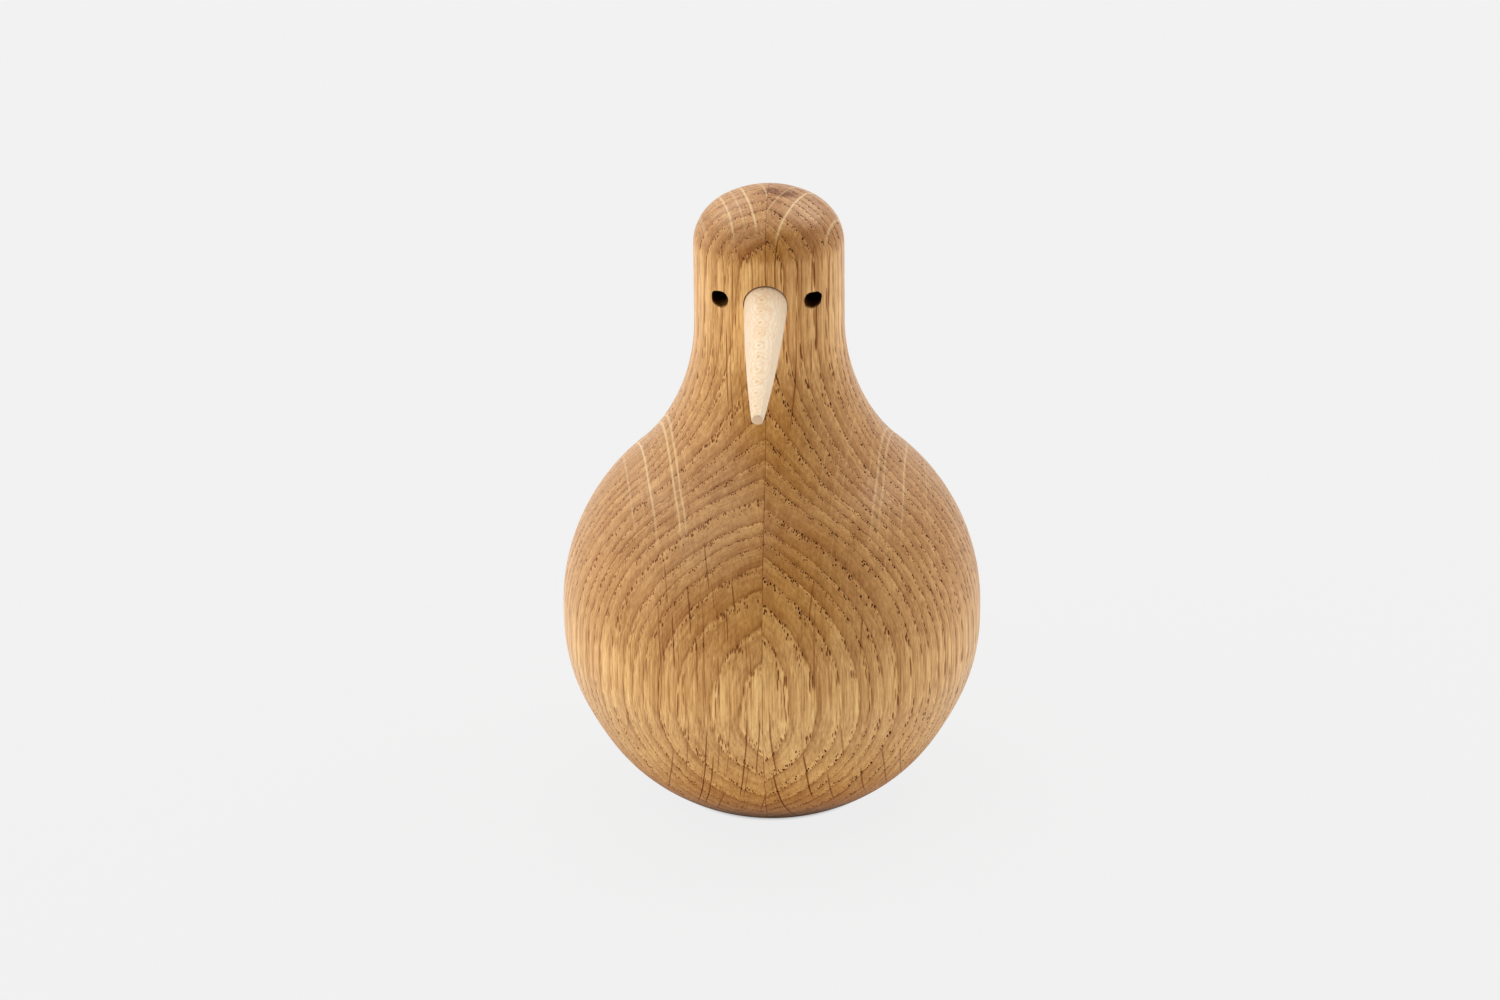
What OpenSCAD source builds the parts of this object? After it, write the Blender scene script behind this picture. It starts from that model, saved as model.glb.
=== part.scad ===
// Turned wooden bird figurine: a round oak body that narrows to a plain head, glued up from two
// halves on its upright centre plane, with two drilled eyes and one tapered beak of a paler wood.
// The bird faces -Y and stands on the flat base. The origin is the centre of the base face, on the
// turning axis, and +Z points up. Left and right are the bird's own. All sizes are in millimetres.

/* [Body] */
// Largest diameter of the belly
belly_d = 90; // [88:0.5:92]
// Height of the straight band at the widest part of the belly
belly_band = 2.2; // [0.5:0.1:5]
// Diameter of the flat base face
base_d = 42; // [36:1:48]
// Radius of the hollow curve that leads from the belly up to the neck
shoulder_r = 44.5; // [42:0.5:47]

/* [Head] */
// Diameter of the neck and the head
head_d = 31.7; // [31:0.1:33]
// Overall height from the base face to the top of the crown
total_h = 136.8; // [134:0.2:140]
// Height of the domed crown
crown_h = 12; // [11.5:0.1:13]
// Radius of the rounding between the side of the head and the crown
crown_round = 10.5; // [8:0.5:11]

/* [Eyes] */
// Diameter of each drilled eye
eye_d = 3.5; // [2:0.1:4.5]
// Distance between the centres of the two eyes
eye_spacing = 19.3; // [16:0.1:22]
// Height of the eyes above the base face
eye_z = 117.1; // [115:0.1:119]
// Depth of each eye, measured from the front of the head along its middle plane
eye_depth = 11.5; // [8:0.5:13]

/* [Beak] */
// Diameter of the beak where it enters the head, which is also that of its tenon
beak_root_d = 9; // [8.5:0.1:10]
// Diameter of the beak next to the rounding of its tip
beak_tip_d = 2.5; // [2:0.1:3]
// Rounding radius at the edge of the beak's flat tip
beak_tip_round = 0.4; // [0.2:0.1:0.9]
// Radius of the slight swell along the beak's sides
beak_swell_r = 500; // [400:10:900]
// Height at which the beak's axis leaves the front of the head, above the base face
beak_z = 116.4; // [115:0.1:119]
// Length of the beak in front of the head, along its own axis
beak_reach = 38.2; // [30:0.1:42]
// Angle that the beak points below the horizontal
beak_pitch = 14; // [8:1:18]
// Length of the tenon inside the head
tenon_len = 14; // [8:0.5:18]
// Chamfer at the inner end of the tenon
tenon_chamfer = 0.8; // [0.2:0.1:1.5]
// Gap for glue between the tenon and its hole, on the radius
glue_gap = 0.05; // [0.02:0.01:0.1]

/* [Hidden] */

// Facets of a whole circle, for turned surfaces, small round details and the beak's long arc
fn_turned = 240;
fn_detail = 64;
fn_swell = 1440;
// Point angle of the drill that made the holes
drill_point_angle = 118;
// How far a cutting shape starts outside the wood
cut_margin = 4;
// Colours of the two woods
oak_colour = [0.74, 0.55, 0.33];
maple_colour = [0.95, 0.86, 0.70];

belly_r = belly_d / 2;
base_r = base_d / 2;
head_r = head_d / 2;
beak_root_r = beak_root_d / 2;
beak_tip_r = beak_tip_d / 2;

// Centres of the belly's lower and upper arcs
belly_low_z = sqrt(pow(belly_r, 2) - pow(base_r, 2));
belly_high_z = belly_low_z + belly_band;

// Centre of the hollow shoulder curve, which touches the belly's upper arc and the neck
shoulder_x = head_r + shoulder_r;
shoulder_z = belly_high_z + sqrt(pow(belly_r + shoulder_r, 2) - pow(shoulder_x, 2));
// Radius and height at which the belly's upper arc meets the shoulder curve
belly_share = belly_r / (belly_r + shoulder_r);
belly_top_x = shoulder_x * belly_share;
belly_top_z = belly_high_z + (shoulder_z - belly_high_z) * belly_share;

// The crown: a rounding at the side of the head, and a wider cap arc that touches it
crown_z = total_h - crown_h;
crown_round_x = head_r - crown_round;
cap_r = (pow(crown_round_x, 2) + pow(crown_h, 2) - pow(crown_round, 2))
    / (2 * (crown_h - crown_round));
cap_z = total_h - cap_r;
// Radius at which the cap arc meets the rounding
cap_edge_x = crown_round_x * cap_r / (cap_r - crown_round);

// Centre of the tip's small rounding, in the beak's own radius and length
tip_round_x = beak_tip_r - beak_tip_round;
tip_round_z = beak_reach - beak_tip_round;
// Centre of the swell arc, which starts at the beak's root and touches the tip's rounding
swell_centre = circles_meet([beak_root_r, 0], beak_swell_r,
                            [tip_round_x, tip_round_z], beak_swell_r - beak_tip_round);

// The meeting point, nearer the axis, of a circle (p, rp) and a circle (q, rq)
function circles_meet(p, rp, q, rq) =
    let (
        span = norm(q - p),
        along = (pow(span, 2) + pow(rp, 2) - pow(rq, 2)) / (2 * span),
        aside = sqrt(pow(rp, 2) - pow(along, 2)),
        dir = (q - p) / span
    )
    p + along * dir - aside * [dir[1], -dir[0]];

// A part of a circle's disc, cut to the box between two corners
module disc_in_box(centre, r, low, high, fn = fn_turned) {
    intersection() {
        translate(centre) circle(r = r, $fn = fn);
        translate(low) square(high - low);
    }
}

// Half outline of the belly, from the base face to the shoulder curve
module belly_outline() {
    disc_in_box([0, belly_low_z], belly_r, [0, 0], [belly_r, belly_high_z]);
    disc_in_box([0, belly_high_z], belly_r, [0, belly_low_z], [belly_r, belly_top_z]);
    translate([0, belly_low_z]) square([belly_r, belly_band]);
}

// Half outline of the shoulder: the wood left between the axis and the hollow curve
module shoulder_outline() {
    difference() {
        translate([0, belly_high_z]) square([belly_top_x, shoulder_z - belly_high_z]);
        translate([shoulder_x, shoulder_z]) circle(r = shoulder_r, $fn = fn_turned);
    }
}

// Half outline of the head: a straight side under a domed crown
module head_outline() {
    crown_foot_z = crown_z - crown_round;
    translate([0, belly_high_z]) square([head_r, crown_z - belly_high_z]);
    disc_in_box([crown_round_x, crown_z], crown_round, [0, crown_foot_z], [head_r, total_h]);
    disc_in_box([0, cap_z], cap_r, [0, crown_foot_z], [cap_edge_x, total_h]);
}

// One half of the turned body, on the +X side of the centre plane
module turned_half() {
    rotate_extrude(angle = 180, start = -90, $fn = fn_turned) {
        belly_outline();
        shoulder_outline();
        head_outline();
    }
}

// A blind hole along +Z from the origin, with a drill point at its end
module drilled_hole(r, depth) {
    translate([0, 0, -cut_margin]) cylinder(h = depth + cut_margin, r = r, $fn = fn_detail);
    translate([0, 0, depth])
        cylinder(h = r / tan(drill_point_angle / 2), r1 = r, r2 = 0, $fn = fn_detail);
}

// The eye on the +X side, drilled straight back
module eye_hole() {
    translate([eye_spacing / 2, -head_r, eye_z])
        rotate([-90, 0, 0]) drilled_hole(eye_d / 2, eye_depth);
}

// The place of the beak: +Z runs out of the head along the beak, from the head's front
module at_beak() {
    translate([0, -head_r, beak_z]) rotate([90 + beak_pitch, 0, 0]) children();
}

// The +X half of the body, with its eye and its half of the beak's hole
module drilled_half() {
    difference() {
        turned_half();
        eye_hole();
        at_beak() mirror([0, 0, 1]) drilled_hole(beak_root_r + glue_gap, tenon_len);
    }
}

module body_half_left() {
    color(oak_colour) drilled_half();
}

module body_half_right() {
    color(oak_colour) mirror([1, 0, 0]) drilled_half();
}

// Half outline of the beak's tenon, chamfered at its inner end
module tenon_outline() {
    polygon([
        [0, -tenon_len],
        [beak_root_r - tenon_chamfer, -tenon_len],
        [beak_root_r, tenon_chamfer - tenon_len],
        [beak_root_r, 0],
        [0, 0]
    ]);
}

// Half outline of the part in front of the head: swelling sides and a flat, eased tip
module beak_taper_outline() {
    overlap = tenon_len / 2;
    disc_in_box(swell_centre, beak_swell_r, [0, -overlap], [beak_root_r, tip_round_z], fn_swell);
    disc_in_box([tip_round_x, tip_round_z], beak_tip_round,
                [0, tip_round_z - beak_tip_round], [beak_tip_r, beak_reach], fn_detail);
    translate([0, tip_round_z - beak_tip_round]) square([tip_round_x, 2 * beak_tip_round]);
}

module beak() {
    color(maple_colour) at_beak() rotate_extrude($fn = fn_turned) {
        tenon_outline();
        beak_taper_outline();
    }
}

body_half_left();
body_half_right();
beak();
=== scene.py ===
import math

import bmesh
import bpy
from mathutils import Matrix, Vector


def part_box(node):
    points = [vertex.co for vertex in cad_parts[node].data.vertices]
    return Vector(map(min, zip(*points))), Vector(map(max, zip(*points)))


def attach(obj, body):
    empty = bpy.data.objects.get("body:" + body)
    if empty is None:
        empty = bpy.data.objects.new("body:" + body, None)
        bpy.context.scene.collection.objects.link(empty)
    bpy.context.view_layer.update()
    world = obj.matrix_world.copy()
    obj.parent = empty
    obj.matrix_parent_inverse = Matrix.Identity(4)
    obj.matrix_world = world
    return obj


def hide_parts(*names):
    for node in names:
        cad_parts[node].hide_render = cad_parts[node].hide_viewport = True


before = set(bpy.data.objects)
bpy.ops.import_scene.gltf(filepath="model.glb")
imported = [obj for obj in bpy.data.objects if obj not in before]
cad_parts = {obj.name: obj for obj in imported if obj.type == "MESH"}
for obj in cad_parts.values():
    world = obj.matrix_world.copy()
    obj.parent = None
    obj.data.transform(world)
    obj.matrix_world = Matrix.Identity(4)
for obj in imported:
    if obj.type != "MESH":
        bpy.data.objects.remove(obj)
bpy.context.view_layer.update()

# ---------------------------------------------------------------------------------------------
# Sizes in metres. The bird faces -Y, stands on z = 0, and its turning axis is the Z axis. The
# two halves of the body meet on the plane x = 0. What the frame's boxes don't say is named here.
# ---------------------------------------------------------------------------------------------

MM = 0.001

BELLY_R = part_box("body_half_left")[1].x
TOTAL_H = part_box("body_half_left")[1].z
BELLY_BAND = 2.2 * MM
BASE_R = 21 * MM
# Radius of the worn edge of the foot
BASE_EASE = 2 * MM
SHOULDER_R = 44.5 * MM
HEAD_R = 15.85 * MM
CROWN_H = 12 * MM
CROWN_ROUND = 10.5 * MM

# The turner cut the belly a little flat low down: at what height, over how much of it on each
# side, and how deep
FLAT_Z = 18 * MM
FLAT_SPREAD = 8 * MM
FLAT_DEPTH = 0.5 * MM

EYE_R = 1.75 * MM
EYE_X = 9.65 * MM
EYE_DEPTH = 11.5 * MM
EYE_Z = 117.1 * MM
DRILL_SLOPE = math.tan(math.radians(59))

BEAK_R = 4.5 * MM
BEAK_TIP_R = 1.25 * MM
BEAK_TIP_ROUND = 0.4 * MM
BEAK_SWELL_R = 500 * MM
BEAK_Z = 116.4 * MM
# A hair under the CAD's length, so that the rounded tip stays inside its box
BEAK_REACH = 38.19 * MM
BEAK_PITCH = math.radians(14)
TENON_LEN = 14 * MM
TENON_CHAMFER = 0.8 * MM
GLUE_GAP = 0.05 * MM

# Centres of the belly's two arcs, of the hollow shoulder curve and of the crown's cap
BELLY_LOW_Z = math.sqrt(BELLY_R ** 2 - BASE_R ** 2)
BELLY_HIGH_Z = BELLY_LOW_Z + BELLY_BAND
SHOULDER_X = HEAD_R + SHOULDER_R
SHOULDER_Z = BELLY_HIGH_Z + math.sqrt((BELLY_R + SHOULDER_R) ** 2 - SHOULDER_X ** 2)
CROWN_Z = TOTAL_H - CROWN_H
CROWN_X = HEAD_R - CROWN_ROUND
CAP_R = (CROWN_X ** 2 + CROWN_H ** 2 - CROWN_ROUND ** 2) / (2 * (CROWN_H - CROWN_ROUND))
CAP_Z = TOTAL_H - CAP_R

# The beak's own axes: x to the bird's left, up across it, and out along it
BEAK_ROOT = Vector((0, -HEAD_R, BEAK_Z))
BEAK_X = Vector((1, 0, 0))
BEAK_UP = Vector((0, -math.sin(BEAK_PITCH), math.cos(BEAK_PITCH)))
BEAK_OUT = Vector((0, -math.cos(BEAK_PITCH), -math.sin(BEAK_PITCH)))


# ---------------------------------------------------------------------------------------------
# Outlines and meshes
# ---------------------------------------------------------------------------------------------

def arc(centre, radius, start, end, step):
    """Points on an arc from one angle to another, without its first point."""
    count = max(2, math.ceil(abs(end - start) * radius / step))
    angles = [start + (end - start) * i / count for i in range(1, count + 1)]
    return [(centre[0] + radius * math.cos(a), centre[1] + radius * math.sin(a)) for a in angles]


def line(start, end, step):
    """Points on a straight line, without its first point."""
    count = max(1, math.ceil(math.dist(start, end) / step))
    return [tuple(s + (e - s) * i / count for s, e in zip(start, end)) for i in range(1, count + 1)]


def flattening(z):
    """How far the turned belly lies inside its true arc at a height."""
    return FLAT_DEPTH * math.exp(-((z - FLAT_Z) / FLAT_SPREAD) ** 2)


def body_outline(step=0.6 * MM):
    """(radius, height) from the centre of the base up to the top of the crown, both left out."""
    ease_x = math.sqrt((BELLY_R - BASE_EASE) ** 2 - (BELLY_LOW_Z - BASE_EASE) ** 2)
    ease_end = math.atan2(BASE_EASE - BELLY_LOW_Z, ease_x)
    shoulder = math.atan2(SHOULDER_Z - BELLY_HIGH_Z, SHOULDER_X)
    cap_edge = math.atan2(CROWN_Z - CAP_Z, CROWN_X)
    points = line((0, 0), (ease_x, 0), 4 * step)
    points += arc((ease_x, BASE_EASE), BASE_EASE, -math.pi / 2, ease_end, step / 3)
    points += arc((0, BELLY_LOW_Z), BELLY_R, ease_end, 0, step)
    points += line((BELLY_R, BELLY_LOW_Z), (BELLY_R, BELLY_HIGH_Z), step)
    points += arc((0, BELLY_HIGH_Z), BELLY_R, 0, shoulder, step)
    points += arc((SHOULDER_X, SHOULDER_Z), SHOULDER_R, math.pi + shoulder, math.pi, step)
    points += line((HEAD_R, SHOULDER_Z), (HEAD_R, CROWN_Z), step)
    points += arc((CROWN_X, CROWN_Z), CROWN_ROUND, 0, cap_edge, step)
    points += arc((0, CAP_Z), CAP_R, cap_edge, math.pi / 2, step)
    return [(r - flattening(z), z) if z > 0 else (r, z) for r, z in points[:-1]]


def circles_meet(p, p_radius, q, q_radius):
    """The point nearer the axis at which two circles meet."""
    span = math.dist(p, q)
    along = (span ** 2 + p_radius ** 2 - q_radius ** 2) / (2 * span)
    aside = math.sqrt(p_radius ** 2 - along ** 2)
    dx, dz = (q[0] - p[0]) / span, (q[1] - p[1]) / span
    return p[0] + along * dx - aside * dz, p[1] + along * dz + aside * dx


def beak_outline(step=0.35 * MM):
    """(radius, length) from the centre of the tenon's end to the centre of the tip, both left out."""
    tip = (BEAK_TIP_R - BEAK_TIP_ROUND, BEAK_REACH - BEAK_TIP_ROUND)
    root = (BEAK_R, 0)
    swell = circles_meet(root, BEAK_SWELL_R, tip, BEAK_SWELL_R - BEAK_TIP_ROUND)
    start = math.atan2(root[1] - swell[1], root[0] - swell[0])
    end = math.atan2(tip[1] - swell[1], tip[0] - swell[0])
    points = line((0, -TENON_LEN), (BEAK_R - TENON_CHAMFER, -TENON_LEN), 3 * step)
    points += line((BEAK_R - TENON_CHAMFER, -TENON_LEN), (BEAK_R, TENON_CHAMFER - TENON_LEN), step)
    points += line((BEAK_R, TENON_CHAMFER - TENON_LEN), root, 2 * step)
    points += arc(swell, BEAK_SWELL_R, start, end, step)
    points += arc(tip, BEAK_TIP_ROUND, end, math.pi / 2, BEAK_TIP_ROUND / 4)
    points += line((tip[0], BEAK_REACH), (0, BEAK_REACH), step)
    return points[:-1]


def mark_sharp_edges(bm, angle=math.radians(28)):
    """Smooth shading everywhere but across real corners."""
    for face in bm.faces:
        face.smooth = True
    for edge in bm.edges:
        if len(edge.link_faces) == 2:
            edge.smooth = edge.calc_face_angle(0) < angle


def object_from(name, points, faces):
    """A new mesh object with outward faces and sharp corners marked."""
    mesh = bpy.data.meshes.new(name)
    mesh.from_pydata(points, [], faces)
    bm = bmesh.new()
    bm.from_mesh(mesh)
    bmesh.ops.recalc_face_normals(bm, faces=bm.faces)
    mark_sharp_edges(bm)
    bm.to_mesh(mesh)
    bm.free()
    obj = bpy.data.objects.new(name, mesh)
    bpy.context.scene.collection.objects.link(obj)
    return obj


# The groove along the glue line: how far it reaches into each half, and how deep it is
SEAM_WIDTH = 0.06 * MM
SEAM_DEPTH = 0.02 * MM
# Radius about the axis within which the groove dies out
SEAM_END = 1.5 * MM


def half_ring(radius, height, side, columns):
    """One turned ring of a half body, eased very slightly where it meets the other half."""
    ease = min(math.asin(min(SEAM_WIDTH / radius, 1)), math.pi / columns / 2)
    angles = [math.pi * i / columns - math.pi / 2 for i in range(columns + 1)]
    angles = [angles[0], angles[0] + ease] + angles[1:-1] + [angles[-1] - ease, angles[-1]]
    seam_radius = radius - SEAM_DEPTH * min(1, radius / SEAM_END)
    ring = []
    for i, a in enumerate(angles):
        r = seam_radius if i in (0, len(angles) - 1) else radius
        ring.append((side * r * math.cos(a), r * math.sin(a), height))
    return ring


def half_body(name, side, columns=180):
    """A closed half of the turned body, side 1 for +X and -1 for -X."""
    rings = [half_ring(r, z, side, columns) for r, z in body_outline()]
    width = len(rings[0])
    points = [p for ring in rings for p in ring] + [(0, 0, 0), (0, 0, TOTAL_H)]
    bottom, top = len(points) - 2, len(points) - 1
    last = (len(rings) - 1) * width
    faces = []
    for i in range(len(rings) - 1):
        low, high = i * width, (i + 1) * width
        faces += [(low + j, low + j + 1, high + j + 1, high + j) for j in range(width - 1)]
        faces.append((low + width - 1, low, high, high + width - 1))
    faces += [(bottom, j + 1, j) for j in range(width - 1)]
    faces += [(top, last + j, last + j + 1) for j in range(width - 1)]
    faces += [(bottom, 0, width - 1), (top, last + width - 1, last)]
    return object_from(name, points, faces)


def turned(name, outline, place, columns=96):
    """A closed solid of revolution. place(radius, angle, length) gives a point."""
    rings = [[place(r, 2 * math.pi * j / columns, s) for j in range(columns)] for r, s in outline]
    points = [p for ring in rings for p in ring]
    points += [place(0, 0, outline[0][1]), place(0, 0, outline[-1][1])]
    start, end = len(points) - 2, len(points) - 1
    last = (len(rings) - 1) * columns
    faces = []
    for j in range(columns):
        k = (j + 1) % columns
        for i in range(len(rings) - 1):
            low, high = i * columns, (i + 1) * columns
            faces.append((low + j, low + k, high + k, high + j))
        faces += [(start, k, j), (end, last + j, last + k)]
    return object_from(name, points, faces)


# Torn spots round each eye's rim: angle, half width in degrees, and how far each one breaks out
TORN_SPOTS = {
    1: ((24, 22, 0.22 * MM), (52, 12, 0.10 * MM), (128, 34, 0.20 * MM), (215, 14, 0.12 * MM),
        (262, 12, 0.14 * MM), (318, 34, 0.22 * MM)),
    -1: ((142, 18, 0.26 * MM), (48, 34, 0.24 * MM), (92, 12, 0.08 * MM), (222, 36, 0.24 * MM),
         (284, 13, 0.16 * MM), (350, 16, 0.10 * MM)),
}
# The depth over which a tear dies out, and the size of the rim's finer raggedness
TEAR_DEPTH = 0.55 * MM
RAGGED = 0.035 * MM


def tear(spots, angle, depth):
    """How far the rim is broken out at an angle, at a depth below the head's surface."""
    fade = math.exp(-max(depth, 0) / TEAR_DEPTH)
    total = RAGGED * fade * sum(math.sin(turns * angle + i) for i, turns in enumerate((7, 17, 31)))
    for centre, width, size in spots:
        off = math.remainder(angle - math.radians(centre), 2 * math.pi) / math.radians(width)
        total += size * fade * math.exp(-off ** 2)
    return total


def eye_cutter(side):
    """The drill's path for one eye, with its mouth torn along the grain."""
    def place(radius, angle, length):
        x = side * EYE_X + radius * math.cos(angle)
        y = -HEAD_R + length
        if radius > 0.5 * EYE_R:
            broken = radius + tear(TORN_SPOTS[side], angle, HEAD_R - math.hypot(x, y))
            return (side * EYE_X + broken * math.cos(angle), y, EYE_Z + broken * math.sin(angle))
        return (x, y, EYE_Z + radius * math.sin(angle))

    mouth = line((EYE_R, -3 * MM), (EYE_R, 7 * MM), 0.2 * MM)
    wall = line((EYE_R, 7 * MM), (EYE_R, EYE_DEPTH), 0.8 * MM)
    point = line((EYE_R, EYE_DEPTH), (0, EYE_DEPTH + EYE_R / DRILL_SLOPE), 0.3 * MM)
    outline = [(EYE_R / 2, -3 * MM), (EYE_R, -3 * MM)] + mouth + wall + point[:-1]
    return turned("eye_cutter", outline, place)


def along_beak(radius, angle, length):
    """A point at a radius and angle round the beak's axis, and a length along it."""
    across = BEAK_X * math.cos(angle) + BEAK_UP * math.sin(angle)
    return BEAK_ROOT + BEAK_OUT * length + across * radius


# How wide the bore's mouth is worn above the beak, how deep the wear goes, and the length over
# which it dies out there
MOUTH_GAP = 0.30 * MM
MOUTH_DEPTH = 2.4 * MM
MOUTH_FADE = 0.4 * MM


def bore_cutter():
    """The drill's path for the beak, with its mouth worn a little wide above the beak."""
    r = BEAK_R + GLUE_GAP
    end = -TENON_LEN

    def place(radius, angle, length):
        fade = min(1, max(0, (length + MOUTH_DEPTH) / MOUTH_FADE))
        worn = MOUTH_GAP * (0.25 + 0.75 * max(0, math.sin(angle - 0.25))) * fade
        return along_beak(radius + worn * min(1, radius / r), angle, length)

    outline = [(r / 2, 4 * MM), (r, 4 * MM)] + line((r, 4 * MM), (r, end), 0.5 * MM)
    outline += line((r, end), (0, end - r / DRILL_SLOPE), 0.5 * MM)[:-1]
    return turned("bore_cutter", outline, place, columns=128)


# Corners that a cut leaves closer than this are joined
CUT_WELD = 0.0005 * MM


def tidy_cut(bm):
    """Joins the slivers, closes the pinholes and removes the folded faces that a cut can leave."""
    bmesh.ops.remove_doubles(bm, verts=bm.verts, dist=CUT_WELD)
    bmesh.ops.dissolve_degenerate(bm, edges=bm.edges, dist=CUT_WELD)
    bmesh.ops.holes_fill(bm, edges=[edge for edge in bm.edges if edge.is_boundary])
    bmesh.ops.triangulate(bm, faces=bm.faces)
    twins = {}
    for face in bm.faces:
        twins.setdefault(frozenset(face.verts), []).append(face)
    folded = [face for group in twins.values() if len(group) > 1 for face in group]
    bmesh.ops.delete(bm, geom=folded, context="FACES")


def cut(obj, cutters):
    """Cuts each cutter out of the object for good, and removes the cutters."""
    for cutter in cutters:
        modifier = obj.modifiers.new("cut", "BOOLEAN")
        modifier.operation = "DIFFERENCE"
        modifier.solver = "EXACT"
        modifier.object = cutter
    depsgraph = bpy.context.evaluated_depsgraph_get()
    mesh = bpy.data.meshes.new_from_object(obj.evaluated_get(depsgraph))
    obj.modifiers.clear()
    old = obj.data
    obj.data = mesh
    mesh.name = obj.name
    bpy.data.meshes.remove(old)
    bm = bmesh.new()
    bm.from_mesh(mesh)
    tidy_cut(bm)
    mark_sharp_edges(bm)
    bm.to_mesh(mesh)
    bm.free()
    for cutter in cutters:
        bpy.data.objects.remove(cutter)


# ---------------------------------------------------------------------------------------------
# Node helpers. An argument may be an output socket or a plain value.
# ---------------------------------------------------------------------------------------------

class Nodes:
    """Builds one material's node tree. Wood is worked out in millimetres in the bird's frame."""

    def __init__(self, name):
        self.material = bpy.data.materials.new(name)
        self.material.use_nodes = True
        self.tree = self.material.node_tree
        self.tree.nodes.clear()

    def node(self, kind, inputs=None, **settings):
        """A new node. Its inputs are given by name or number."""
        made = self.tree.nodes.new(kind)
        for key, value in settings.items():
            setattr(made, key, value)
        for key, value in (inputs or {}).items():
            if isinstance(value, bpy.types.NodeSocket):
                self.tree.links.new(value, made.inputs[key])
            else:
                made.inputs[key].default_value = value
        return made

    def math(self, operation, a, b=0.0):
        return self.node("ShaderNodeMath", {0: a, 1: b}, operation=operation).outputs[0]

    def add(self, a, b):
        return self.math("ADD", a, b)

    def sub(self, a, b):
        return self.math("SUBTRACT", a, b)

    def mul(self, a, b):
        return self.math("MULTIPLY", a, b)

    def dim(self, light, taken):
        """What is left of a light or a mask when a share of it is taken away."""
        return self.mul(light, self.sub(1.0, taken))

    def fade(self, value, low, high, to_low=0.0, to_high=1.0):
        """Smooth step from to_low at low to to_high at high."""
        inputs = {"Value": value, "From Min": low, "From Max": high, "To Min": to_low, "To Max": to_high}
        return self.node("ShaderNodeMapRange", inputs, interpolation_type="SMOOTHSTEP").outputs[0]

    def vector(self, x, y, z):
        return self.node("ShaderNodeCombineXYZ", {0: x, 1: y, 2: z}).outputs[0]

    def noise(self, vector, detail=2.0, roughness=0.5):
        """Noise between about 0 and 1, centred on 0.5."""
        inputs = {"Vector": vector, "Scale": 1.0, "Detail": detail, "Roughness": roughness}
        return self.node("ShaderNodeTexNoise", inputs).outputs["Fac"]

    def swing(self, size, places, rates, detail=2.0, roughness=0.5):
        """Noise about size wide, centred on 0, that changes at its own rate along each of 3 places."""
        vector = self.vector(*(self.mul(place, rate) for place, rate in zip(places, rates)))
        return self.mul(self.sub(self.noise(vector, detail, roughness), 0.5), size)

    def cells(self, vector, randomness=1.0):
        """Distance to the nearest cell's centre, that centre's x, and two dice for the cell."""
        inputs = {"Vector": vector, "Scale": 1.0, "Randomness": randomness}
        made = self.node("ShaderNodeTexVoronoi", inputs)
        centre = self.node("ShaderNodeSeparateXYZ", {0: made.outputs["Position"]})
        dice = self.node("ShaderNodeSeparateColor", {"Color": made.outputs["Color"]})
        return made.outputs["Distance"], centre.outputs[0], dice.outputs[0], dice.outputs[1]

    def mix(self, factor, a, b, blend="MIX"):
        made = self.node("ShaderNodeMix", data_type="RGBA", blend_type=blend)
        for socket, value in ((made.inputs[0], factor), (made.inputs[6], a), (made.inputs[7], b)):
            if isinstance(value, bpy.types.NodeSocket):
                self.tree.links.new(value, socket)
            else:
                socket.default_value = value
        return made.outputs[2]

    def ramp(self, factor, stops):
        """A colour ramp from (position, colour) stops."""
        made = self.node("ShaderNodeValToRGB", {"Fac": factor})
        elements = made.color_ramp.elements
        while len(elements) < len(stops):
            elements.new(1.0)
        for element, (position, colour) in zip(elements, stops):
            element.position = position
            element.color = colour
        return made.outputs["Color"]

    def bump(self, height):
        """The surface's direction with a relief in millimetres."""
        inputs = {"Height": height, "Distance": MM, "Strength": 1.0}
        return self.node("ShaderNodeBump", inputs).outputs[0]

    def place(self):
        """x, y and z in millimetres."""
        coords = self.node("ShaderNodeTexCoord").outputs["Object"]
        scaled = self.node("ShaderNodeVectorMath", {0: coords, 3: 1 / MM}, operation="SCALE")
        return self.node("ShaderNodeSeparateXYZ", {0: scaled.outputs[0]}).outputs

    def normal(self):
        """The surface's outward direction, before any bump."""
        coords = self.node("ShaderNodeTexCoord").outputs["Normal"]
        return self.node("ShaderNodeSeparateXYZ", {0: coords}).outputs


def rgb(red, green, blue):
    """A linear colour from the three values of a display colour, 0 to 255."""
    def linear(v):
        v = v / 255
        return v / 12.92 if v <= 0.04045 else ((v + 0.055) / 1.055) ** 2.4
    return (linear(red), linear(green), linear(blue), 1.0)


# ---------------------------------------------------------------------------------------------
# Oak
# ---------------------------------------------------------------------------------------------

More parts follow.
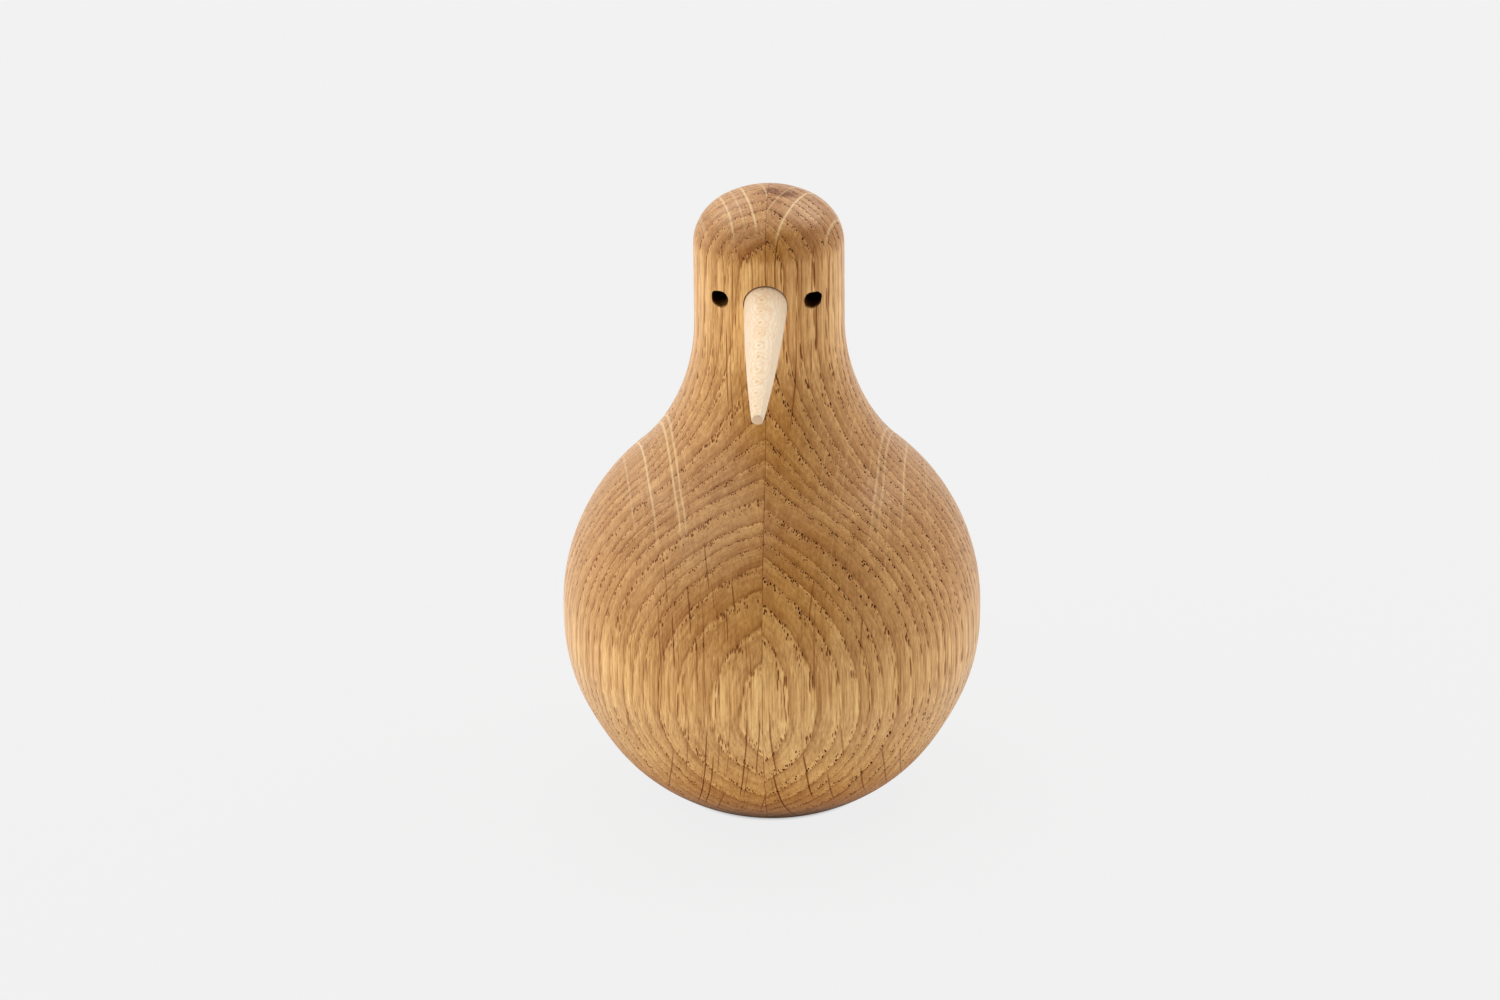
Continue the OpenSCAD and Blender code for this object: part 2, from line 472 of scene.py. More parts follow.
# How the growth layers lie in each board, in millimetres and degrees. turn is how far the way out
# from the pith turns from straight ahead towards the glue plane, bend is one over the distance to
# the pith, lean and twist tilt the layers along the grain, and the ring's width swings about its
# mean in slow waves, each given by its size in rings, its length and where it starts.
#
# The rays fan out from ray_centre. shoulder_rays and crown_rays are the broad pale ones: how far
# each lies from the glue plane, measured round the fan, and how strongly it shows. dark_rays are
# the thin dark ones on the front: the same distance, the heights between which each one shows, and
# its strength.
OAK_BOARDS = {
    -1: {
        "turn": 14.0, "bend": 0.002, "lean": -0.076, "twist": -0.0002, "width": 2.64, "first": 7.57,
        "waves": ((0.25, 13.04, 14.34), (0.08, 7.46, 10.52)),
        "pore_dark": 0.70, "seed": 3.0, "ray_centre": (-76.0, 276.0),
        "shoulder_rays": ((21.8, 0.9), (22.9, 1.0), (27.3, 1.0), (31.0, 0.6)),
        "crown_rays": ((0.8, 0.7), (5.0, 1.0), (7.2, 0.4), (9.4, 0.8), (14.2, 0.5)),
        "dark_rays": (
            (26.2, 58, 66, 0.6), (25.5, 45, 57, 0.8), (22.5, 53, 63, 0.8), (21.5, 40, 53, 0.6),
            (18.7, 62, 71, 0.7), (18.1, 59, 64, 0.5), (16.0, 52, 59, 0.7), (14.5, 58, 65, 0.7),
            (33.1, 41, 49, 0.5), (33.7, 26, 32, 0.5), (25.6, 9, 25, 0.7), (19.9, 6, 33, 1.0),
            (18.6, 6, 26, 0.9), (13.1, 11, 38, 1.0), (10.9, 19, 36, 0.8), (16.1, 5, 14, 0.6),
            (17.8, 38, 50, 0.4), (20.5, 30, 48, 0.4), (23.1, 17, 36, 0.5), (13.0, 48, 53, 0.4),
            (10.0, 115, 128, 0.6), (6.45, 119, 128, 0.6), (11.3, 94, 112, 0.8),
            (13.5, 117, 126, 0.5), (11.6, 123, 129, 0.5), (13.5, 99, 113, 0.4))},
    1: {
        "turn": 31.0, "bend": 0.0098, "lean": -0.036, "twist": -0.00046, "width": 2.57, "first": 6.48,
        "waves": ((0.23, 18.41, 11.58), (0.16, 10.53, 5.93)),
        "pore_dark": 0.95, "seed": 8.0, "ray_centre": (30.0, 64.0),
        "shoulder_rays": ((24.7, 0.6), (25.9, 0.5), (29.7, 0.6), (34.4, 0.6), (39.4, 0.4)),
        "crown_rays": ((3.3, 0.5), (6.8, 1.0), (14.1, 0.9)),
        "dark_rays": (
            (12.9, 19, 38, 0.8), (12.45, 2, 22, 1.0), (16.8, 11, 27, 0.9), (19.4, 10, 20, 0.6),
            (23.8, 9, 20, 0.7), (27.2, 8, 26, 0.6), (17.7, 57, 64, 0.6), (24.4, 48, 57, 0.5),
            (21.7, 24, 33, 0.5), (29.7, 10, 22, 0.5), (24.4, 31, 45, 0.4),
            (7.05, 119, 132, 0.9), (7.95, 121, 127, 0.6), (10.95, 115, 127, 0.5),
            (10.3, 89, 116, 0.7), (13.2, 105, 118, 0.8), (12.5, 118, 129, 0.6),
            (14.9, 114, 127, 0.6), (12.5, 100, 109, 0.6))},
}

# Half widths of the broad and the dark rays, how far round the fan the broad ones are listed, and
# the heights between which they fade in on the shoulders and on the crown
BROAD_RAY = 0.26
DARK_RAY = 0.15
RAY_REACH = 50.0
SHOULDER_RAYS_FADE = (64.0, 78.0)
CROWN_RAYS_FADE = (126.0, 132.0)

# Thin rays come in a coarse and a fine set: the width of a strip of the fan that holds one ray, a
# ray's half width, and the length over which it comes and goes
COARSE_RAYS = (1.9, 0.13, 26.0)
FINE_RAYS = (0.9, 0.10, 12.0)
# How widely all the rays wander to the sides
RAY_WANDER = 0.8

OAK_BASE = rgb(249, 189, 106)
OAK_END_TINT = (0.50, 0.395, 0.24, 1.0)
OAK_RAY_PALE = rgb(255, 222, 164)
# The dark of the drilled holes' walls
HOLE_WALL_DARK = rgb(70, 44, 24)
# Painted contact shadow for the edge of the foot
FOOT_CONTACT_SHADE = rgb(58, 42, 28)
WHITE = (1.0, 1.0, 1.0, 1.0)

# How bright the wood is through one growth ring, and how much faster green and blue darken
RING_TONES = ((0.0, 0.80), (0.04, 1.03), (0.25, 1.03), (0.45, 1.02), (0.68, 0.97), (0.86, 0.88),
              (0.95, 0.76), (1.0, 0.72))
GREEN_POWER = 1.5
BLUE_POWER = 2.3

# How widely the brightness swings from ring to ring, in broad streaks and fine ones along the
# grain, in fine bands along the rings, and from pore to pore
RING_SWING = 0.4
STREAK_SWING = 0.5
FIBRE_SWING = 1.1
BAND_SWING = 0.45
SPECKLE_SWING = 1.05

# The vessels' rows in one ring, how many of them hold vessels for certain and by chance, and a
# vessel's length, smallest radius and how much that varies, the last two in rows
VESSEL_ROWS = 7
SURE_ROWS = 1
CHANCE_ROWS = ((2, 0.5), (3, 0.15))
VESSEL_LENGTH = 7.0
VESSEL_RADIUS = 0.30
VESSEL_SPREAD = 0.16

# How much of the light the front's dark rays, the mineral streaks and the painted shade on wood that
# faces a little up take, and how much of it the painted shade low on the belly leaves
FRONT_RAY_DARK = 0.68
STAIN_DARK = 0.65
FACING_SHADE = 0.17
UNDERSIDE_SHADE = 0.60

# How much of the wood's colour is hidden by thin rays and broad ones, by the painted contact shadow on
# the foot's edge and by the dark of the drilled holes' walls
THIN_RAY_COVER = 0.14
BROAD_RAY_COVER = 0.8
CONTACT_SHADE_COVER = 0.88
HOLE_WALL_COVER = 0.85

# The heights between which the drilled holes lie, those between which the head's side passes into
# the crown, and the middle and half widths of the one patch of mineral streaks
HOLES_LOW = 105.0
HOLES_HIGH = 123.5
CROWN_LOW = 118.0
CROWN_FULL = 124.0
STAIN_X, STAIN_Y = 2.2, -1.0
STAIN_WIDE, STAIN_DEEP = 4.4, 2.4

# Relief in millimetres: how deep the vessels and the soft early wood lie, and how high the speckle
# and the fibres stand
VESSEL_RELIEF = -0.05
EARLY_RELIEF = -0.008
SPECKLE_RELIEF = 0.012
FIBRE_RELIEF = 0.015


class OakPoint:
    """Where a point lies in the bird and in its board, in millimetres, and how the surface cuts it."""

    def __init__(self, n, side):
        self.side = side
        self.board = OAK_BOARDS[side]
        self.x, self.y, self.z = n.place()
        nx, ny, self.nz = n.normal()
        turn = math.radians(self.board["turn"])
        out_x, out_y = -side * math.sin(turn), -math.cos(turn)

        # Depth is measured out from the pith, and across lies along the layers
        self.depth = n.add(n.mul(self.x, out_x), n.mul(self.y, out_y))
        self.across = n.add(n.mul(self.x, -out_y), n.mul(self.y, out_x))
        self.ring = ring_number(n, self)
        self.part = n.math("FRACT", self.ring)

        # How far the surface cuts across the grain, how far along it, and how far beside the rays
        self.end_grain = n.math("ABSOLUTE", self.nz)
        self.side_grain = n.fade(self.end_grain, 0.05, 0.40, 1.0, 0.15)
        facing_out = n.math("ABSOLUTE", n.add(n.mul(nx, out_x), n.mul(ny, out_y)))
        self.beside_rays = n.fade(facing_out, 0.45, 0.75, 1.0, 0.0)

        # The finest streaks along the grain, and the pores that speckle every cut
        grain = (self.depth, self.across, self.z)
        self.fibre = n.swing(1.0, grain, (3.0, 3.0, 0.04))
        self.speckle = n.swing(1.0, grain, (1.7, 1.7, 0.20), detail=3.0, roughness=0.8)


def ring_number(n, p):
    """The number of rings below a point, for layers that curve, lean, twist and wander."""
    board = p.board
    curve = n.mul(n.mul(p.across, p.across), board["bend"] / 2)
    tilt = n.add(n.mul(p.z, board["lean"]), n.mul(n.mul(p.across, p.z), board["twist"]))
    layer = n.add(n.add(p.depth, curve), tilt)
    slow = n.swing(1.4, (p.across, p.z, board["seed"]), (0.06, 0.03, 1.0), detail=1.0)
    ripple = n.swing(0.6, (p.across, p.z, p.depth), (0.4, 0.035, 0.1))
    torn = n.swing(0.12, (p.across, p.z, p.depth), (2.4, 0.12, 0.4), detail=1.0)
    layer = n.add(n.add(layer, slow), n.add(ripple, torn))
    ring = n.mul(n.sub(layer, board["first"]), 1 / board["width"])
    for size, length, start in board["waves"]:
        turns = n.mul(n.sub(layer, start), 2 * math.pi / length)
        ring = n.add(ring, n.mul(n.math("SINE", turns), size))
    return ring


def broad_rays(n, from_seam, rays):
    """A mask of the listed broad rays."""
    stops = [(0.0, (0.0, 0.0, 0.0, 1.0))]
    for place, strength in rays:
        for offset, value in ((-BROAD_RAY, 0.0), (0.0, strength), (BROAD_RAY, 0.0)):
            stops.append(((place + offset) / RAY_REACH, (value, value, value, 1.0)))
    return n.ramp(n.mul(from_seam, 1 / RAY_REACH), stops)


def thin_rays(n, p, from_seam, seed, pitch, half_width, length):
    """A mask of thin rays, one in each strip of the fan, that come and go along the grain."""
    strip = n.mul(from_seam, 1 / pitch)
    dice = n.node("ShaderNodeTexWhiteNoise", {"W": n.add(n.math("FLOOR", strip), seed)},
                  noise_dimensions="1D").outputs["Value"]
    offset = n.math("ABSOLUTE", n.sub(n.math("FRACT", strip), n.add(0.25, n.mul(dice, 0.5))))
    spot = n.vector(n.mul(p.z, 1 / length), n.mul(p.y, 0.4 / length), n.mul(dice, 300.0))
    shown = n.fade(n.noise(spot, detail=1.0), 0.51, 0.65)
    width = n.mul(shown, half_width / pitch)
    inner, outer = n.mul(width, 0.5), n.add(n.mul(width, 1.4), 0.001)
    return n.mul(n.fade(offset, inner, outer, 1.0, 0.0), n.fade(shown, 0.0, 0.3))


def dark_rays(n, from_seam, z, rays):
    """A mask of the listed thin rays, each tapered to its ends."""
    mask = 0.0
    for place, low, high, strength in rays:
        from_middle = n.math("ABSOLUTE", n.sub(z, (low + high) / 2))
        taper = n.fade(from_middle, (high - low) * 0.25, (high - low) * 0.58, 1.0, 0.0)
        offset = n.math("ABSOLUTE", n.sub(from_seam, place))
        edge = n.add(n.mul(taper, DARK_RAY), 0.02)
        ray = n.mul(n.fade(offset, n.mul(edge, 0.3), edge, strength, 0.0), n.fade(taper, 0.0, 0.5))
        mask = n.math("MAXIMUM", mask, ray)
    return mask


def oak_rays(n, p):
    """Where the thin rays, the listed dark rays of the front and the broad rays are."""
    board = p.board
    centre_x, centre_y = board["ray_centre"]
    reach = math.hypot(centre_x, centre_y)
    angle = n.math("ARCTAN2", n.sub(p.x, centre_x), n.sub(centre_y, p.y))
    from_seam = n.mul(n.add(angle, math.atan2(centre_x, centre_y)), p.side * reach)
    bow = n.swing(RAY_WANDER, (p.x, p.y, p.z), (0.08, 0.08, 0.05), detail=1.0)
    from_seam = n.add(from_seam, bow)
    coarse = thin_rays(n, p, from_seam, board["seed"], *COARSE_RAYS)
    fine = thin_rays(n, p, from_seam, board["seed"] + 50, *FINE_RAYS)
    thin = n.math("MAXIMUM", coarse, n.mul(fine, 0.6))
    listed = dark_rays(n, from_seam, p.z, board["dark_rays"])
    front = n.mul(listed, n.fade(p.y, -10.0, -5.0, 1.0, 0.0))
    shoulder = broad_rays(n, from_seam, board["shoulder_rays"])
    shoulder = n.mul(shoulder, n.fade(p.z, *SHOULDER_RAYS_FADE))
    crown = broad_rays(n, from_seam, board["crown_rays"])
    crown = n.mul(crown, n.fade(p.z, *CROWN_RAYS_FADE))
    return thin, front, n.math("MAXIMUM", shoulder, crown)


def oak_vessels(n, p):
    """Masks of the big vessels, whole tubes in the first rows of each ring, and of those rows."""
    size = p.board["width"] / VESSEL_ROWS
    spot = n.vector(n.mul(p.ring, VESSEL_ROWS), n.mul(p.across, 1 / size), n.mul(p.z, 1 / VESSEL_LENGTH))
    distance, row, chance, deep = n.cells(spot, 0.65)
    row = n.math("FRACT", n.mul(row, 1 / VESSEL_ROWS))
    present = n.math("LESS_THAN", row, SURE_ROWS / VESSEL_ROWS)
    for rows, odds in CHANCE_ROWS:
        inside = n.math("LESS_THAN", row, rows / VESSEL_ROWS)
        present = n.math("MAXIMUM", present, n.mul(inside, n.math("LESS_THAN", chance, odds)))
    radius = n.add(VESSEL_RADIUS, n.mul(deep, VESSEL_SPREAD))
    tube = n.fade(n.sub(distance, radius), -0.08, 0.08, 1.0, 0.0)
    return n.mul(n.mul(tube, present), n.add(0.55, n.mul(deep, 0.45))), present


def ring_light(n, p):
    """Each ring starts pale and darkens slowly to its end, and has a shade of its own."""
    light = n.ramp(p.part, [(place, (tone, tone, tone, 1.0)) for place, tone in RING_TONES])
    places = (n.math("FLOOR", p.ring), p.board["seed"], p.z)
    return n.mul(light, n.add(1.0, n.swing(RING_SWING, places, (3.7, 1.0, 0.004), detail=0.0)))


def grain_light(n, p):
    """Streaks along the grain, fine bands along the rings, and the speckle of pores."""
    broad = n.swing(STREAK_SWING, (p.depth, p.across, p.z), (0.4, 0.4, 0.012))
    streak = n.add(broad, n.mul(n.mul(p.fibre, FIBRE_SWING), p.side_grain))
    band = n.swing(BAND_SWING, (p.ring, p.across, p.z), (7.0, 0.12, 0.02), detail=1.0)
    return n.add(1.0, n.add(streak, n.add(band, n.mul(p.speckle, SPECKLE_SWING))))


def vessel_light(n, p, vessel, rows):
    """Dark open vessels, darkest where they are cut across, with pale crumbs between them."""
    crumbs = n.mul(n.mul(rows, n.sub(1.0, vessel)), n.fade(p.end_grain, 0.1, 0.4, 0.03, 0.12))
    open_ends = n.fade(p.end_grain, 0.0, 0.4, 0.7, 1.0)
    return n.dim(n.add(1.0, crumbs), n.mul(n.mul(vessel, open_ends), p.board["pore_dark"]))


def ray_darkness(n, p, thin, front):
    """Thin rays, dark where the surface faces along them but not up, and the front's listed ones."""
    dark = n.mul(n.dim(thin, p.beside_rays), n.fade(p.nz, 0.25, 0.50, 0.35, 0.05))
    return n.math("MAXIMUM", dark, n.mul(front, FRONT_RAY_DARK))


def glue_line(n, p):
    """A dark hairline between the halves that comes and goes."""
    gap = n.fade(n.math("ABSOLUTE", p.x), 0.04, 0.14, 1.0, 0.0)
    strength = n.noise(n.vector(p.board["seed"], 0.0, n.mul(p.z, 0.08)), detail=3.0)
    return n.mul(gap, n.fade(strength, 0.3, 0.6, 0.10, 0.50))


def mineral_streaks(n, p):
    """One small patch of dark threads along the rings, on the crown."""
    from_x = n.math("POWER", n.mul(n.sub(p.x, STAIN_X), 1 / STAIN_WIDE), 2.0)
    from_y = n.math("POWER", n.mul(n.sub(p.y, STAIN_Y), 1 / STAIN_DEEP), 2.0)
    patch = n.fade(n.add(from_x, from_y), 0.3, 1.3, 1.0, 0.0)
    threads = n.noise(n.vector(n.mul(p.across, 0.30), n.mul(p.ring, 7.0), 0.0))
    stain = n.mul(patch, n.fade(threads, 0.42, 0.52))
    return n.mul(n.mul(stain, n.math("GREATER_THAN", p.z, CROWN_LOW)), STAIN_DARK)


def painted_facing_shade(n, p):
    """Painted shade on wood that faces a little up, less at the back, and most on the crown and brow."""
    facing = n.mul(n.fade(p.nz, -0.15, 0.30), n.fade(p.nz, 0.55, 0.90, 1.0, 0.0))
    place = n.mul(n.fade(p.z, CROWN_LOW, CROWN_FULL, 1.0, 1.7), n.fade(p.y, -4.0, 4.0, 1.0, 0.5))
    brow = n.mul(n.fade(p.z, CROWN_LOW - 2, CROWN_FULL), n.fade(p.y, -15.0, -10.0, 1.0, 0.0))
    return n.mul(n.math("MAXIMUM", n.mul(facing, place), n.mul(brow, 0.9)), FACING_SHADE)


def oiled_colour(n, p, light):
    """Oil makes dark wood redder, and end grain drinks more of it."""
    green, blue = n.math("POWER", light, GREEN_POWER), n.math("POWER", light, BLUE_POWER)
    shades = n.node("ShaderNodeCombineColor", {0: light, 1: green, 2: blue}).outputs[0]
    tint = n.mix(n.math("POWER", p.end_grain, 1.05), WHITE, OAK_END_TINT)
    return n.mix(1.0, n.mix(1.0, OAK_BASE, shades, "MULTIPLY"), tint, "MULTIPLY")


def painted_foot_shade(n, p):
    """Painted contact shadow on the edge of the foot, where it nears the floor, but not on the flat face
    under it.
    """
    return n.mul(n.fade(p.z, 1.5, 8.5, 1.0, 0.0), n.fade(p.end_grain, 0.985, 0.998, 1.0, 0.0))


def hole_walls(n, p):
    """The walls of the drilled holes, from a little below the head's surface inwards."""
    from_axis = n.math("SQRT", n.add(n.mul(p.x, p.x), n.mul(p.y, p.y)))
    inside = n.fade(from_axis, HEAD_R / MM - 0.9, HEAD_R / MM - 0.15, 1.0, 0.0)
    above, below = n.math("GREATER_THAN", p.z, HOLES_LOW), n.math("LESS_THAN", p.z, HOLES_HIGH)
    return n.mul(inside, n.mul(above, below))


def oak_relief(n, p, vessel, early):
    """Bump and roughness from open vessels, soft early wood, speckle and raised fibres."""
    height = n.add(n.mul(vessel, VESSEL_RELIEF), n.mul(p.speckle, SPECKLE_RELIEF))
    height = n.add(height, n.mul(n.mul(p.fibre, p.side_grain), FIBRE_RELIEF))
    height = n.add(height, n.mul(early, EARLY_RELIEF))
    rough = n.add(0.42, n.mul(vessel, 0.3))
    rough = n.add(rough, n.add(n.mul(p.fibre, 0.2), n.mul(early, 0.06)))
    return n.bump(height), rough


def oak(name, side):
    """Oiled oak for one half of the body."""
    n = Nodes(name)
    p = OakPoint(n, side)
    vessel, rows = oak_vessels(n, p)
    early = n.mul(n.fade(p.part, 0.0, 0.03), n.fade(p.part, 0.20, 0.34, 1.0, 0.0))
    thin, front, wide = oak_rays(n, p)

    light = n.mul(n.mul(ring_light(n, p), grain_light(n, p)), vessel_light(n, p, vessel, rows))
    # The last of these is painted shade on wood that faces a little up
    for taken in (ray_darkness(n, p, thin, front), glue_line(n, p), mineral_streaks(n, p), painted_facing_shade(n, p)):
        light = n.dim(light, taken)
    # Painted shade on the lower belly, darker towards the foot
    light = n.mul(light, n.fade(p.z, 3.0, 22.0, UNDERSIDE_SHADE, 1.0))

    colour = oiled_colour(n, p, light)
    for rays, cover in ((thin, THIN_RAY_COVER), (wide, BROAD_RAY_COVER)):
        colour = n.mix(n.mul(n.mul(rays, p.beside_rays), cover), colour, OAK_RAY_PALE)
    # Painted contact shadow on the foot's edge, where the floor is close
    foot_shade = painted_foot_shade(n, p)
    colour = n.mix(n.mul(foot_shade, CONTACT_SHADE_COVER), colour, FOOT_CONTACT_SHADE)
    # The walls of the drilled holes are coloured darker
    drilled = hole_walls(n, p)
    colour = n.mix(n.mul(drilled, HOLE_WALL_COVER), colour, HOLE_WALL_DARK)

    # The painted contact shadow on the foot, the holes' walls, the underside and all dark wood shine
    # less
    shine = n.mul(n.sub(1.0, foot_shade), n.sub(1.0, drilled))
    shine = n.mul(shine, n.fade(p.nz, -0.60, -0.15, 0.1, 1.0))
    shine = n.mul(shine, n.math("MINIMUM", light, 1.0))
    bump, rough = oak_relief(n, p, vessel, early)
    finish(n, colour, rough, bump, shine)
    return n.material


# How strongly the wood reflects, how much of a soft skin of oil lies on it, and how much its
# raised fibres catch the light
GLOSS = {"Specular IOR Level": 0.5, "Coat Weight": 0.22, "Sheen Weight": 0.14}


def finish(n, colour, rough, normal, shine=None):
    """The shader of a bare or lightly oiled wood. shine, if given, is the share of gloss left."""
    gloss = GLOSS
    if shine is not None:
        gloss = {socket: n.mul(shine, value) for socket, value in GLOSS.items()}
    shader = n.node("ShaderNodeBsdfPrincipled", {
        "Base Color": colour, "Roughness": rough, "Normal": normal, "IOR": 1.6,
        "Coat Roughness": 0.45, "Sheen Roughness": 0.5, **gloss})
    n.node("ShaderNodeOutputMaterial", {"Surface": shader.outputs[0]})


# ---------------------------------------------------------------------------------------------
# The beak's pale wood
# ---------------------------------------------------------------------------------------------

PALE_WOOD = rgb(254, 230, 197)
PALE_WOOD_LATE = rgb(240, 194, 136)
PALE_FLECK = rgb(230, 184, 104)
PALE_END = rgb(246, 206, 163)

# The thickness of a growth layer, how far apart the spots along the top are and how far to one
# side they lie, and the radius of the faint ring round each
PALE_LAYER = 0.42
SPOT_PITCH = 3.6
SPOT_ASIDE = 0.6
SPOT_RING = 1.15


def beak_place(n):
    """x across the beak, up across it and along it, in millimetres from the head's front."""
    x, y, z = n.place()
    root = BEAK_ROOT / MM
    y, z = n.sub(y, root.y), n.sub(z, root.z)
    up = n.add(n.mul(y, BEAK_UP.y), n.mul(z, BEAK_UP.z))
    along = n.add(n.mul(y, BEAK_OUT.y), n.mul(z, BEAK_OUT.z))
    return x, up, along


def late_wood(n, x, up, along, wave):
    """Layers lie flat across the beak and undulate, so its top cuts them in small loops."""
    layer = n.add(n.add(up, n.mul(along, 0.085)), n.mul(n.mul(x, x), 0.03))
    layer = n.add(layer, n.mul(n.sub(wave, 0.5), 1.5))
    part = n.math("FRACT", n.mul(layer, 1 / PALE_LAYER))
    return n.mul(n.fade(part, 0.35, 0.85), n.fade(part, 0.85, 1.0, 1.0, 0.0))


def top_spots(n, x, up, along, wave):
    """Small spots in a row along the top, each in a faint ring."""
    spot = n.math("PINGPONG", n.add(along, n.mul(wave, 1.5)), SPOT_PITCH / 2)
    aside, ahead = n.math("POWER", n.add(x, SPOT_ASIDE), 2.0), n.math("POWER", spot, 2.0)
    from_spot = n.math("SQRT", n.add(aside, ahead))
    from_ring = n.math("ABSOLUTE", n.sub(from_spot, SPOT_RING))
    inner = n.mul(n.fade(from_spot, 0.20, 0.50, 1.0, 0.0), 0.7)
    halo = n.mul(n.fade(from_ring, 0.05, 0.30, 1.0, 0.0), 0.3)
    return n.mul(n.math("MAXIMUM", inner, halo), n.fade(up, 0.0, 0.8))


def ray_flecks(n, x, up, along):
    """Small flecks of ray, a little longer than wide."""
    distance, _, chance, _ = n.cells(n.vector(n.mul(x, 1.6), n.mul(up, 1.6), n.mul(along, 0.8)))
    return n.mul(n.fade(distance, 0.15, 0.4, 1.0, 0.0), n.fade(chance, 0.6, 0.8))


def tip_face(n):
    """Where the surface faces out along the beak, which is the cut tip."""
    _, ny, nz = n.normal()
    return n.fade(n.add(n.mul(ny, BEAK_OUT.y), n.mul(nz, BEAK_OUT.z)), 0.80, 0.97)


def pale_wood(name):
    """Fine, even maple with faint layers and small flecks, whose grain runs along the beak."""
    n = Nodes(name)
    x, up, along = beak_place(n)
    wave = n.noise(n.vector(n.mul(x, 0.30), n.mul(up, 0.10), n.mul(along, 0.42)), detail=1.0)
    cloud = n.noise(n.vector(n.mul(x, 0.5), n.mul(up, 0.5), n.mul(along, 0.35)))
    fibre = n.noise(n.vector(n.mul(x, 4.0), n.mul(up, 4.0), n.mul(along, 0.25)), detail=3.0)
    fleck = ray_flecks(n, x, up, along)
    late = n.mul(late_wood(n, x, up, along, wave), 0.50)

    colour = n.mix(late, PALE_WOOD, PALE_WOOD_LATE)
    colour = n.mix(n.fade(cloud, 0.40, 0.70, 0.0, 0.25), colour, PALE_WOOD_LATE)
    colour = n.mix(top_spots(n, x, up, along, wave), colour, PALE_FLECK)
    colour = n.mix(n.mul(fleck, 0.4), colour, PALE_FLECK)
    colour = n.mix(n.fade(fibre, 0.5, 0.85, 0.0, 0.4), colour, PALE_WOOD_LATE)
    colour = n.mix(tip_face(n), colour, PALE_END)

    raised = n.sub(fibre, 0.5)
    height = n.add(n.mul(raised, 0.012), n.mul(fleck, -0.006))
    finish(n, colour, n.add(0.5, n.mul(raised, 0.2)), n.bump(height))
    return n.material


# ---------------------------------------------------------------------------------------------
# Pieces
# ---------------------------------------------------------------------------------------------

def make_half(name, node, side):
    """One oak half, with its eye and its half of the beak's hole."""
    obj = half_body(name, side)
    cut(obj, [eye_cutter(side), bore_cutter()])
    obj.data.materials.append(oak(name, side))
    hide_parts(node)
    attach(obj, "root")
    return obj


def make_beak():
    """The turned beak with its tenon."""
    obj = turned("maple_beak", beak_outline(), along_beak)
    obj.data.materials.append(pale_wood("maple_beak"))
    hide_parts("beak")
    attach(obj, "root")
    return obj


# ---------------------------------------------------------------------------------------------
# Studio
# ---------------------------------------------------------------------------------------------

# The floor glows, so that it stays even and pale, and dims a little close round the foot
FLOOR_GLOW = 0.84
FLOOR_ALBEDO = 0.04
CONTACT_START = 20 * MM
CONTACT_END = 22.5 * MM
CONTACT_DIM = 0.75
FLOOR_HALF = 6.0


def make_floor():
    """A wide pale floor with a faint contact shadow."""
    n = Nodes("floor")
    coords = n.node("ShaderNodeTexCoord").outputs["Object"]
    distance = n.node("ShaderNodeVectorMath", {0: coords}, operation="LENGTH").outputs["Value"]
    dim = 1 - CONTACT_DIM
    glow = n.fade(distance, CONTACT_START, CONTACT_END, dim * FLOOR_GLOW, FLOOR_GLOW)
    shader = n.node("ShaderNodeBsdfPrincipled", {
        "Base Color": (FLOOR_ALBEDO, FLOOR_ALBEDO, FLOOR_ALBEDO, 1.0), "Roughness": 1.0,
        "Specular IOR Level": 0.0, "Emission Color": (1.0, 1.0, 1.0, 1.0), "Emission Strength": glow})
    n.node("ShaderNodeOutputMaterial", {"Surface": shader.outputs[0]})
    corners = [(x * FLOOR_HALF, y * FLOOR_HALF, 0) for x, y in ((-1, -1), (1, -1), (1, 1), (-1, 1))]
    obj = object_from("floor", corners, [(0, 1, 2, 3)])
    obj.data.materials.append(n.material)


# Name, place in metres, width, height and power in watts of each light
SOFT_LIGHTS = (
    ("back_left_box", (-0.59, 0.59, 1.06), 1.0, 0.8, 5.4),
    ("back_right_box", (0.59, 0.59, 1.06), 1.0, 0.8, 6.5),
    ("front_box", (-0.59, -0.59, 1.06), 1.0, 0.8, 3.4),
    ("top_box", (0, 0, 1.4), 1.0, 1.0, 3.7),
    ("left_wall", (-1.7, 0, 0.8), 3.4, 1.6, 20.5),
    ("right_wall", (1.7, 0, 0.8), 3.4, 1.6, 13),
    ("back_wall", (0, 1.7, 0.8), 3.4, 1.6, 12),
)


def soft_light(name, place, width, height, power):
    """A soft box aimed at the middle of the bird."""
    data = bpy.data.lights.new(name, "AREA")
    data.shape = "RECTANGLE"
    data.size, data.size_y = width, height
    data.energy = power
    obj = bpy.data.objects.new(name, data)
    obj.location = place
    aim = Vector((0, 0, TOTAL_H / 2))
    obj.rotation_euler = (aim - Vector(place)).to_track_quat("-Z", "Y").to_euler()
    bpy.context.scene.collection.objects.link(obj)


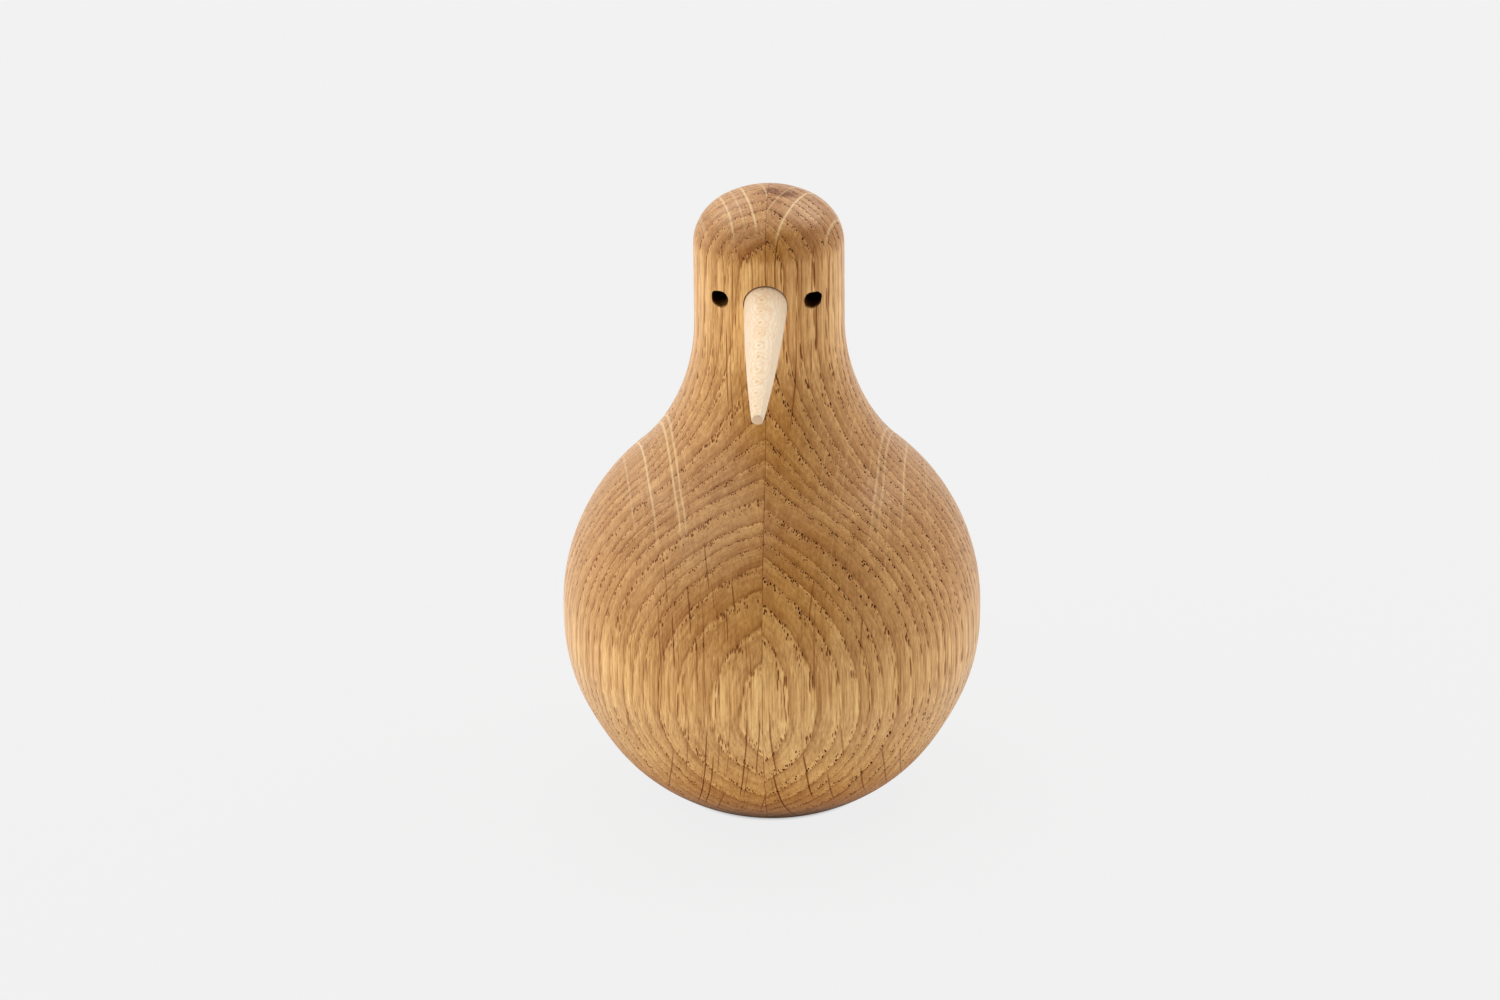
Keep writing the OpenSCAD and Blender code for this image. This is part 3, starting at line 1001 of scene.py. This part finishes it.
def make_lights():
    """Two soft boxes high behind, one high in front, one overhead, and three pale walls."""
    for name, place, width, height, power in SOFT_LIGHTS:
        soft_light(name, place, width, height, power)
    world = bpy.data.worlds.new("room")
    world.use_nodes = True
    world.node_tree.nodes["Background"].inputs["Strength"].default_value = 0.0
    bpy.context.scene.world = world
    bpy.context.scene.view_settings.view_transform = "Standard"


# The camera's angle above level and to the bird's left, its distance, its slight roll, and the
# width of what it sees at the belly's centre
CAMERA_ELEVATION = math.radians(25.5)
CAMERA_TURN = math.radians(2.8)
CAMERA_DISTANCE = 1.081
CAMERA_ROLL = math.radians(0.62)
FRAME_WIDTH = 0.3245
# Where the picture's middle lies from the belly's centre, to the right and up in the picture
FRAME_MIDDLE = (-4.8 * MM, 23.7 * MM)


def rolled_axes(backward):
    """The camera's right and up, for a camera that looks away from backward."""
    right = Vector((0, 0, 1)).cross(backward).normalized()
    up = backward.cross(right)
    cos, sin = math.cos(CAMERA_ROLL), math.sin(CAMERA_ROLL)
    return right * cos - up * sin, up * cos + right * sin


def make_camera():
    """A long lens from slightly above, a few degrees to one side of the bird's face."""
    back = Vector((math.sin(CAMERA_TURN) * math.cos(CAMERA_ELEVATION),
                   -math.cos(CAMERA_TURN) * math.cos(CAMERA_ELEVATION),
                   math.sin(CAMERA_ELEVATION)))
    belly = Vector((0, 0, BELLY_LOW_Z))
    place = belly + back * CAMERA_DISTANCE
    right, up = rolled_axes(back)
    aim = belly + right * FRAME_MIDDLE[0] + up * FRAME_MIDDLE[1]
    backward = (place - aim).normalized()
    right, up = rolled_axes(backward)
    data = bpy.data.cameras.new("camera")
    data.sensor_width = 36
    data.lens = data.sensor_width * CAMERA_DISTANCE / FRAME_WIDTH
    data.clip_end = 50
    obj = bpy.data.objects.new("camera", data)
    obj.matrix_world = Matrix.Translation(place) @ Matrix((right, up, backward)).transposed().to_4x4()
    bpy.context.scene.collection.objects.link(obj)
    bpy.context.scene.camera = obj


make_camera()
make_half("oak_half_left", "body_half_left", 1)
make_half("oak_half_right", "body_half_right", -1)
make_beak()
make_floor()
make_lights()
